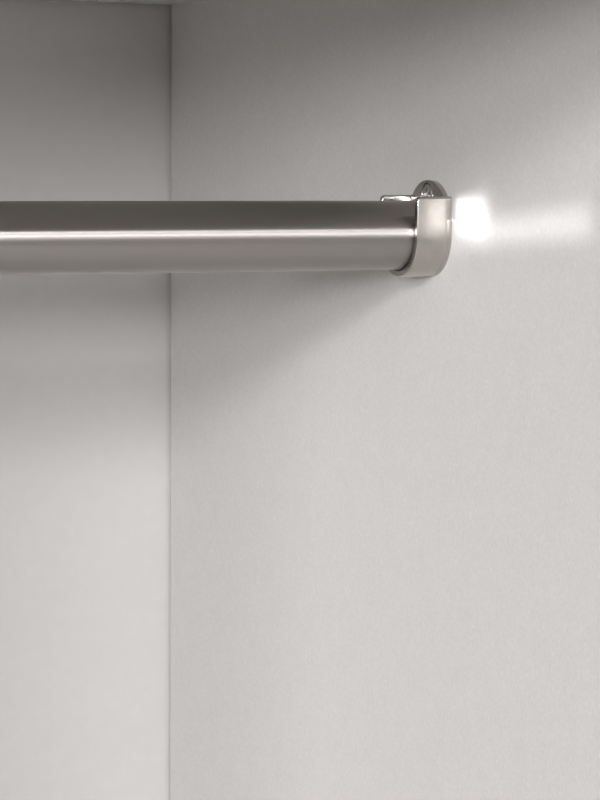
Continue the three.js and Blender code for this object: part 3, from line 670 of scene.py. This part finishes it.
def handle_place(node, upright, outward):
    """The frame of a handle from its CAD node's box: its middle, on the face that it is screwed to."""
    low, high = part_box(node)
    middle = middle_of(node)
    for i in range(3):
        if outward[i]:
            middle[i] = low[i] - cad_play if outward[i] > 0 else high[i] + cad_play
    x_axis = z_up if upright else x_up
    return frame_matrix(middle, x_axis, outward, x_axis.cross(outward))


handle_places = {
    "wardrobe_door_handle": ("wardrobe_door_leaf", True, x_up),
    "cupboard_door_handle": ("cupboard_door_leaf", True, -y_up),
}
for number in (1, 2, 3):
    handle_places[f"drawer_{number}_handle"] = (f"drawer_{number}_box", False, -y_up)
for name, (body, upright, outward) in handle_places.items():
    mesh_data = bmesh.new()
    bow(mesh_data, handle_place(name, upright, outward))
    show(name + "_bow", solid(mesh_data), handle_chrome, body, name)

# %% [markdown]
# ## Levelling legs
#
# Each leg is moulded in two pieces: a ribbed tube under a screwed plate, and a foot that turns on a thread to
# level the carcass. The round forms are turned; the ribs that stiffen the tube and the grip round the foot are
# the repeated part, so Geometry Nodes set them round a circle further on.

# %% Legs
leg_nodes = ["leg_front_left", "leg_front_right", "leg_rear_left", "leg_rear_right", "leg_middle"]
disc_radius, disc_height, disc_edge = 23 * mm, 9 * mm, 1.5 * mm
neck_radius, neck_top, leg_edge = 9 * mm, 16.5 * mm, 1 * mm
tube_mouth, tube_radius, tube_taper = 16.5 * mm, 19 * mm, 0.4 * mm
tube_low, tube_top = 17 * mm, 93 * mm
flare_radius, leg_plate_radius, leg_plate_low, leg_top = 22 * mm, 32 * mm, 96 * mm, 100 * mm

disc_inner = disc_radius - disc_edge
leg_profile = [(0, 0)] + fillet(disc_inner, disc_edge, disc_edge, -90, 0)
leg_profile += fillet(disc_inner, disc_height - disc_edge, disc_edge, 0, 90)
leg_profile += [(neck_radius + leg_edge, disc_height), (neck_radius, disc_height + leg_edge)]
leg_profile += [(neck_radius, neck_top), (tube_mouth, neck_top)]
leg_profile += fillet(tube_radius - leg_edge, tube_low + leg_edge, leg_edge, -90, 0)
leg_profile += [(tube_radius - tube_taper, tube_top), (flare_radius, leg_plate_low)]
leg_profile += fillet(leg_plate_radius - leg_edge, leg_plate_low + leg_edge, leg_edge, -90, 0)
leg_profile += [(leg_plate_radius, leg_top), (0, leg_top)]
leg_middles = {}
for name in leg_nodes:
    leg_middles[name] = middle_of(name) * Vector((1, 1, 0))
    mesh_data = bmesh.new()
    turned(mesh_data, leg_profile, 64, Matrix.Translation(leg_middles[name]))
    show(name + "_moulding", solid(mesh_data), black_plastic, "carcass", name)

# %% [markdown]
# ## Hinge cups
#
# A cup is drawn from nickel-plated sheet: a bowl 35 mm across, sunk into the door, with a wing at each side for
# a screw. Rays from the middle of the bowl meet the round mouth and the outline of the wings at the same
# angles, so the same `skin` carries the rings over from a circle to the long outline and back. Beside the wings
# the plate is pressed flat, since the link and the arm pass less than a millimetre over it as the door moves.

# %% Hinge cups
cup_radius, cup_depth, cup_sheet = 17.5 * mm, 11.5 * mm, 1.2 * mm
wing_half, wing_end, wing_thickness = 8 * mm, 30 * mm, 1 * mm
plate_radius = 18.3 * mm
press_run, press_share = 2 * mm, 0.88
bowl_round, heel = 2 * mm, 1.5 * mm
cup_setback = 22.5 * mm  # from the door's hinged edge to the middle of the bowl
pin_setback, pin_depth, pin_radius = 10.8 * mm, 4.6 * mm, 1.1 * mm
cup_points = 96


def wing_ring(inset, z):
    """The outline of the cup's plate: the larger of a disc and a bar with round ends, along local Y."""
    half = wing_half - inset
    centre = wing_end - wing_half
    ring = []
    for i in range(cup_points):
        a = 2 * math.pi * i / cup_points
        c, s = abs(math.cos(a)), abs(math.sin(a))
        side = half / c if c * centre >= half * s else 0
        tip = centre * s + math.sqrt(max(half**2 - (centre * c) ** 2, 0))
        r = max(side or tip, plate_radius - inset)
        ring.append((r * math.cos(a), r * math.sin(a), z))
    return ring


def pressed(ring):
    """Presses the plate down beside the wings, where the arm and the link pass close over the rim."""
    made = []
    for x, y, z in ring:
        beside = min(max((abs(x) - wing_half) / press_run, 0), 1)
        made.append((x, y, z * (1 - press_share * beside) if z > 0 else z))
    return made


def hinge_cup(mesh_data, place):
    """Local Z points out of the door, X away from its hinged edge; z = 0 is the play above its face."""
    mouth = cup_radius - cup_sheet
    floor_z = cup_sheet - cup_depth
    bowl = [(0, floor_z)] + fillet(mouth - bowl_round, floor_z + bowl_round, bowl_round, -90, 0)
    # The lip rolls over outwards in three short steps.
    bowl += [(mouth, wing_thickness - 0.6 * mm), (mouth + 0.2 * mm, wing_thickness - 0.1 * mm)]
    bowl += [(mouth + 0.5 * mm, wing_thickness)]
    shell = [(cup_radius, 0), (cup_radius, heel - cup_depth), (cup_radius - heel, -cup_depth), (0, -cup_depth)]
    edge = 0.25 * mm
    rings = [circle(r, z, cup_points) for r, z in bowl]
    rings += [wing_ring(edge, wing_thickness), wing_ring(0, wing_thickness - edge), wing_ring(0, 0)]
    rings += [circle(r, z, cup_points) for r, z in shell]
    skin(mesh_data, [pressed(ring) for ring in rings], place)
    # The pin across the bowl, on which the link turns, lies in the wall nearest the carcass.
    toward = pin_setback - cup_setback
    half = math.sqrt((cup_radius - cup_sheet / 2) ** 2 - toward**2)
    pin = frame_matrix((toward, 0, -pin_depth), x_up, -z_up, y_up)
    turned(mesh_data, [(0, -half), (pin_radius, -half), (pin_radius, half), (0, half)], 24, place @ pin)


# For each door: its hinges, the way its inner face points, and the way from its hinged edge into the leaf.
cup_sets = {"wardrobe_door": (3, -x_up, -y_up), "cupboard_door": (2, y_up, x_up)}
cup_middles = {}
for door, (count, outward, away) in cup_sets.items():
    low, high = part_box(door)
    # The corner of the leaf where its inner face meets its hinged edge.
    hinged_edge = Vector((low.x, high.y, 0))
    nodes = [f"{door}_hinge_{i}_cup" for i in range(1, count + 1)]
    cup_middles[door] = [hinged_edge + away * cup_setback + z_up * middle_of(node).z for node in nodes]
    mesh_data = bmesh.new()
    for middle in cup_middles[door]:
        hinge_cup(mesh_data, frame_matrix(middle + outward * cad_play, away, outward.cross(away), outward))
    show(door + "_cups", solid(mesh_data), hinge_nickel, door + "_leaf", *nodes, sharp_angle=45)
print("hinges at", {door: [round(m.z / mm, 1) for m in middles] for door, middles in cup_middles.items()})

# %% [markdown]
# ## Screws, by Geometry Nodes
#
# Sixty-five screws hold the fittings, and they differ only in place, direction and size. Copying an object in
# a loop would do, but a node tree says it once: a head with its cross recess is made from primitives, set on
# every point of a mesh, turned to that point's `outward` direction and spun by its `spin`. The sizes are inputs
# of the tree. The result of one body's screws is turned into a plain mesh, so that it can ride.


# %% Helpers for geometry node trees
def new_tree(name, **sizes):
    """A geometry node tree with a geometry input, named sizes in metres and a finish."""
    tree = bpy.data.node_groups.new(name, "GeometryNodeTree")
    tree.interface.new_socket("Geometry", in_out="INPUT", socket_type="NodeSocketGeometry")
    for label, value in sizes.items():
        label = label.replace("_", " ")
        socket = tree.interface.new_socket(label, in_out="INPUT", socket_type="NodeSocketFloat")
        socket.default_value = value
    tree.interface.new_socket("Finish", in_out="INPUT", socket_type="NodeSocketMaterial")
    tree.interface.new_socket("Geometry", in_out="OUTPUT", socket_type="NodeSocketGeometry")
    return tree, add_node(tree, "NodeGroupInput").outputs, add_node(tree, "NodeGroupOutput")


def raised(tree, mesh, height, turn=0.0):
    """A mesh moved up by a height and turned about the vertical."""
    way = add_node(tree, "ShaderNodeCombineXYZ", {"Z": height})
    change = {"Geometry": mesh, "Translation": way, "Rotation": (0, 0, turn)}
    return add_node(tree, "GeometryNodeTransform", change)


def joined(tree, *meshes):
    whole = add_node(tree, "GeometryNodeMeshBoolean", operation="UNION")
    for mesh in meshes:
        feed(tree, whole, {"Mesh 2": mesh})
    return whole


def set_on_points(tree, given, result, head):
    """Instances of head on the points, turned to outward and spun, made real and given the finish."""
    outward = add_node(tree, "GeometryNodeInputNamedAttribute", {"Name": "outward"}, data_type="FLOAT_VECTOR")
    spin = add_node(tree, "GeometryNodeInputNamedAttribute", {"Name": "spin"}, data_type="FLOAT")
    facing = add_node(tree, "FunctionNodeAlignRotationToVector", {"Vector": outward}, axis="Z")
    twist = add_node(tree, "FunctionNodeAxisAngleToRotation", {"Axis": (0, 0, 1), "Angle": spin})
    turns = {"Rotation": facing, "Rotate By": twist}
    turned_to = add_node(tree, "FunctionNodeRotateRotation", turns, rotation_space="LOCAL")
    points = add_node(tree, "GeometryNodeMeshToPoints", {"Mesh": given["Geometry"]})
    placed = {"Points": points, "Instance": head, "Rotation": turned_to}
    copies = add_node(tree, "GeometryNodeInstanceOnPoints", placed)
    real = add_node(tree, "GeometryNodeRealizeInstances", {"Geometry": copies})
    finished = add_node(tree, "GeometryNodeSetMaterial", {"Geometry": real, "Material": given["Finish"]})
    feed(tree, result, {"Geometry": finished})
    print(tree.name, "has", len(tree.nodes), "nodes")


def run_tree(name, tree, points, finish, body, **sizes):
    """Runs a tree on points (place, outward, spin in degrees), makes one piece on the body. Sizes are in mm."""
    mesh = bpy.data.meshes.new(name + "_points")
    mesh.from_pydata([place for place, _, _ in points], [], [])
    mesh.attributes.new("outward", "FLOAT_VECTOR", "POINT")
    mesh.attributes.new("spin", "FLOAT", "POINT")
    for i, (_, direction, degrees) in enumerate(points):
        mesh.attributes["outward"].data[i].vector = direction
        mesh.attributes["spin"].data[i].value = math.radians(degrees)
    carrier = add_object(name + "_points", mesh)
    modifier = carrier.modifiers.new("tree", "NODES")
    modifier.node_group = tree
    sockets = {s.name: s.identifier for s in tree.interface.items_tree if s.in_out == "INPUT"}
    for label, value in sizes.items():
        modifier[sockets[label.replace("_", " ")]] = value * mm
    modifier[sockets["Finish"]] = finish
    show(name, evaluated_mesh(carrier), finish, body, sharp_angle=30)


# %% [markdown]
# A head is a blunt cone, less a cross of two thin blocks. For a countersunk head the cone is sunk to the
# surface; for a pan head it stands proud.

# %% Screw tree
screw_sizes = {"Head_Diameter": 7 * mm, "Head_Height": 1.5 * mm, "Proud": 0.2 * mm, "Recess_Width": 0.9 * mm}
crown_share, recess_share = 0.86, 0.56
screw_tree, given, result = new_tree("cross_recess_screws", **screw_sizes)
diameter, height = given["Head Diameter"], given["Head Height"]
radius = add_node(screw_tree, "ShaderNodeMath", {0: diameter, 1: 0.5}, operation="MULTIPLY")
crown = add_node(screw_tree, "ShaderNodeMath", {0: radius, 1: crown_share}, operation="MULTIPLY")
taper = {"Vertices": 28, "Side Segments": 1, "Radius Top": crown, "Radius Bottom": radius, "Depth": height}
cone = add_node(screw_tree, "GeometryNodeMeshCone", taper)
lift = add_node(screw_tree, "ShaderNodeMath", {0: given["Proud"], 1: height}, operation="SUBTRACT")
length = add_node(screw_tree, "ShaderNodeMath", {0: diameter, 1: recess_share}, operation="MULTIPLY")
block = add_node(screw_tree, "ShaderNodeCombineXYZ", {"X": length, "Y": given["Recess Width"], "Z": height})
bar = add_node(screw_tree, "GeometryNodeMeshCube", {"Size": block})
bars = [raised(screw_tree, bar, given["Proud"], turn) for turn in (0.0, math.radians(90))]
cross_cut = {"Mesh 1": raised(screw_tree, cone, lift), "Mesh 2": joined(screw_tree, *bars)}
head = add_node(screw_tree, "GeometryNodeMeshBoolean", cross_cut, operation="DIFFERENCE")
set_on_points(screw_tree, given, result, head)


def screws(name, points, finish, body, head, height, proud, recess):
    sizes = {"Head_Diameter": head, "Head_Height": height, "Proud": proud, "Recess_Width": recess}
    run_tree(name, screw_tree, points, finish, body, **sizes)


# %% [markdown]
# Each socket shows one screw, above its cup. A hinge has two in its plate, 32 mm apart in the row of system
# holes, two in the wings of its cup, 45 mm apart, and one in the side of its arm that adjusts it. The recesses
# stand at different angles, as a screwdriver leaves them.

# %% Screws of the sockets and hinges
ear_screws = []
for place in socket_places.values():
    away = place.to_3x3() @ z_up
    ear_screws.append((place @ Vector((0, ear_screw_rise, flange_thickness)), away, 12))
screws("socket_screws", ear_screws, screw_zinc, "carcass", head=7.6, height=1.6, proud=0.0, recess=1.0)

plate_screw_back, plate_screw_step, plate_face = 36 * mm, 16 * mm, 2.5 * mm
arm_screw_back, arm_face = 21 * mm, 23.2 * mm
wing_screw_step, wing_screw_face = 22.5 * mm, 1.3 * mm
plate_screws, arm_screws = [], []
wall_faces = {"wardrobe_door": (inner_x, -x_up), "cupboard_door": (-inner_x, x_up)}
for door, (count, outward, away) in cup_sets.items():
    wall, inward = wall_faces[door]
    wing_screws = []
    for i, middle in enumerate(cup_middles[door]):
        for way in (-1, 1):
            beside = Vector((wall, front_y + plate_screw_back, middle.z + way * plate_screw_step))
            plate_screws.append((beside + inward * plate_face, inward, 25 + 30 * i + 16 * way))
            wing_screw = middle + z_up * way * wing_screw_step + outward * wing_screw_face
            wing_screws.append((wing_screw, outward, 40 * i + 22.5 * way))
        arm_screw = Vector((wall, front_y + arm_screw_back, middle.z)) + inward * arm_face
        arm_screws.append((arm_screw, inward, 10 + 25 * i))
    wing_sizes = {"head": 6.4, "height": 1.3, "proud": 0.7, "recess": 0.8}
    screws(door + "_cup_screws", wing_screws, screw_zinc, door + "_leaf", **wing_sizes)
screws("hinge_plate_screws", plate_screws, hinge_nickel, "carcass", head=7.5, height=1.8, proud=1.2, recess=0.9)
screws("hinge_side_screws", arm_screws, hinge_nickel, "carcass", head=5.6, height=1.4, proud=0.5, recess=0.7)

# %% Screws in the runners and the leg plates
runner_sheet = 1.2 * mm
runner_screws = []
for number in (1, 2, 3):
    for side, inward in (("left", x_up), ("right", -x_up)):
        runner = f"drawer_{number}_runner_{side}"
        low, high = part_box(runner)
        web = (low.x if inward.x > 0 else high.x) + inward.x * runner_sheet
        for back_by in (37, 261, 420):
            spot = Vector((web, low.y + back_by * mm, middle_of(runner).z))
            runner_screws.append((spot, inward, back_by))
screws("runner_screws", runner_screws, screw_zinc, "carcass", head=6.5, height=1.0, proud=0.5, recess=0.8)

leg_screw_circle = 27 * mm
leg_screws = []
for middle in leg_middles.values():
    for quarter, (x, y, z) in enumerate(circle(leg_screw_circle, leg_plate_low, 4)):
        spot = middle + Matrix.Rotation(math.radians(45), 3, "Z") @ Vector((x, y, z))
        leg_screws.append((spot, -z_up, 20 * quarter))
screws("leg_plate_screws", leg_screws, screw_zinc, "carcass", head=6, height=1.4, proud=0.9, recess=0.8)

# %% [markdown]
# ## Caps, nails and ribs
#
# The carcass is held by long connecting screws through the side panels. Their heads are under thin white caps
# on the outside, three to each joint. Small nails tie the back to the partition and the fixed shelf. Both are
# low domes, which a second tree makes from a cylinder and a flattened cone. A third tree stands ribs round the
# legs: there, the points lie on the leg and `outward` is the direction of the rib.

# %% Cap tree
cap_tree, given, result = new_tree("low_domes", Diameter=12 * mm, Rim=0.5 * mm, Dome=0.4 * mm)
radius = add_node(cap_tree, "ShaderNodeMath", {0: given["Diameter"], 1: 0.5}, operation="MULTIPLY")
crown = add_node(cap_tree, "ShaderNodeMath", {0: radius, 1: 0.8}, operation="MULTIPLY")
wall = {"Vertices": 32, "Radius": radius, "Depth": given["Rim"]}
rim = add_node(cap_tree, "GeometryNodeMeshCylinder", wall)
half = add_node(cap_tree, "ShaderNodeMath", {0: given["Rim"], 1: 0.5}, operation="MULTIPLY")
slope = {"Vertices": 32, "Radius Top": crown, "Radius Bottom": radius, "Depth": given["Dome"]}
dome = add_node(cap_tree, "GeometryNodeMeshCone", slope)
cap = joined(cap_tree, raised(cap_tree, rim, half), raised(cap_tree, dome, given["Rim"]))
set_on_points(cap_tree, given, result, cap)

cap_setback = 60 * mm
caps = []
boards = {1: ["top_panel", "bottom_panel"], -1: ["top_panel", "bottom_panel", "fixed_shelf"]}
for side, names in boards.items():
    for board in names:
        for y in (front_y + cap_setback, 0, rear_y - cap_setback):
            caps.append((Vector((side * side_high.x, y, middle_of(board).z)), x_up * side, 0))
run_tree("connector_caps", cap_tree, caps, cap_plastic, "carcass", Diameter=12, Rim=0.45, Dome=0.35)

# Places are shares of the back's height and of the shelf's width. The column is hammered a little unevenly.
column_start, column_step, column_sway = 0.04, 0.092, 0.6 * mm
row_start, row_step = 0.14, 0.24
shelf_low, shelf_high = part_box("fixed_shelf")
nails = []
for i in range(11):
    z = back_low.z + (column_start + column_step * i) * (back_high.z - back_low.z)
    nails.append((Vector((column_sway * (i % 2), back_high.y, z)), y_up, 0))
for i in range(4):
    x = shelf_low.x + (row_start + row_step * i) * (shelf_high.x - shelf_low.x)
    nails.append((Vector((x, back_high.y, middle_of("fixed_shelf").z)), y_up, 0))
run_tree("back_nails", cap_tree, nails, screw_zinc, "carcass", Diameter=4.2, Rim=0.15, Dome=0.35)

# %% Rib tree
rib_tree, given, result = new_tree("ribs_round_legs", Depth=2 * mm, Thickness=1.6 * mm, Length=70 * mm)
box = {"X": given["Thickness"], "Y": given["Length"], "Z": given["Depth"]}
size = add_node(rib_tree, "ShaderNodeCombineXYZ", box)
set_on_points(rib_tree, given, result, add_node(rib_tree, "GeometryNodeMeshCube", {"Size": size}))


def round_legs(radius, z, count):
    """Points round every leg. The spin stands a rib upright, whichever way its outward direction turned it."""
    points = []
    for middle in leg_middles.values():
        for i, out in enumerate(circle(1, 0, count)):
            points.append((middle + Vector(out) * radius + z_up * z, Vector(out), 360 * i / count - 90))
    return points


tube_ribs = round_legs(tube_radius + 0.2 * mm, (tube_low + tube_top) / 2, 12)
run_tree("leg_tube_ribs", rib_tree, tube_ribs, black_plastic, "carcass", Depth=1.6, Thickness=1.8, Length=70)
foot_grips = round_legs(disc_radius - 0.3 * mm, disc_height / 2, 24)
run_tree("leg_foot_grips", rib_tree, foot_grips, black_plastic, "carcass", Depth=1.2, Thickness=1.4, Length=5)

# %% [markdown]
# ## Drawer rollers and shelf pins
#
# The drawers run on nylon wheels: one at the front of each runner, fixed to the carcass, and one at the rear
# of each drawer side. In the frame they are part of the folded steel, so here each gets its own turned wheel
# of nylon with a rounded tread and a raised hub, a tenth of a millimetre over the solid that it covers. The
# adjustable shelf lies on four nickel-plated pins, made the same way.

# %% Rollers
solid_roller, roller_cover, roller_width, tread_edge = 9 * mm, 0.12 * mm, 6 * mm, 0.7 * mm
hub_radius, hub_slope, hub_rise = 3.2 * mm, 0.4 * mm, 0.25 * mm
roller_setback = 12 * mm  # from the end of the runner or of the drawer's side
side_gap, solid_half = 1 * mm, 2.9 * mm
roller_play = {"runner": 0.5 * mm, "side": 0.3 * mm}  # over the runner's lower flange

cheek = roller_width / 2
tread = roller_cover + solid_roller - tread_edge
wheel = [(0, -cheek - hub_rise), (hub_radius, -cheek - hub_rise), (hub_radius + hub_slope, -cheek)]
wheel += fillet(tread, tread_edge - cheek, tread_edge, -90, 0)
wheel += fillet(tread, cheek - tread_edge, tread_edge, 0, 90)
wheel += [(hub_radius + hub_slope, cheek), (hub_radius, cheek + hub_rise), (0, cheek + hub_rise)]
for number in (1, 2, 3):
    for kind, body in (("runner", "carcass"), ("side", f"drawer_{number}_box")):
        mesh_data = bmesh.new()
        for side, inward in (("left", 1), ("right", -1)):
            low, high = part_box(f"drawer_{number}_{kind}_{side}")
            runner_low, runner_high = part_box(f"drawer_{number}_runner_{side}")
            wall = runner_low.x if inward > 0 else runner_high.x
            x = wall + inward * (runner_sheet + side_gap + solid_half)
            y = low.y + roller_setback if kind == "runner" else high.y - roller_setback
            z = runner_low.z + runner_sheet + roller_play[kind] + solid_roller
            turned(mesh_data, wheel, 48, Matrix.Translation((x, y, z)) @ along_x)
        show(f"drawer_{number}_{kind}_wheels", solid(mesh_data), nylon, body)

# %% Shelf pins
collar_radius, collar_low, collar_high, collar_slope = 3.6 * mm, 0.05 * mm, 0.7 * mm, 0.3 * mm
stud_radius, stud_tip, stud_end, stud_edge = 2.62 * mm, 2.2 * mm, 9.1 * mm, 0.5 * mm
stud_setback, stud_below = 37 * mm, 2.8 * mm
pin = [(0, collar_low), (collar_radius, collar_low), (collar_radius, collar_high)]
pin += [(stud_radius, collar_high + collar_slope), (stud_radius, stud_end - stud_edge)]
pin += [(stud_tip, stud_end), (0, stud_end)]
pin_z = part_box("adjustable_shelf")[0].z - stud_below
mesh_data = bmesh.new()
for wall, inward in ((-inner_x, x_up), (partition_low.x, -x_up)):
    for y in (front_y + stud_setback, back_low.y - stud_setback):
        turned(mesh_data, pin, 32, frame_matrix((wall, y, pin_z), y_up * inward.x, z_up, inward))
show("shelf_pins", solid(mesh_data), hinge_nickel, "carcass")

# %% Finish
bpy.context.scene.view_settings.view_transform = "Standard"
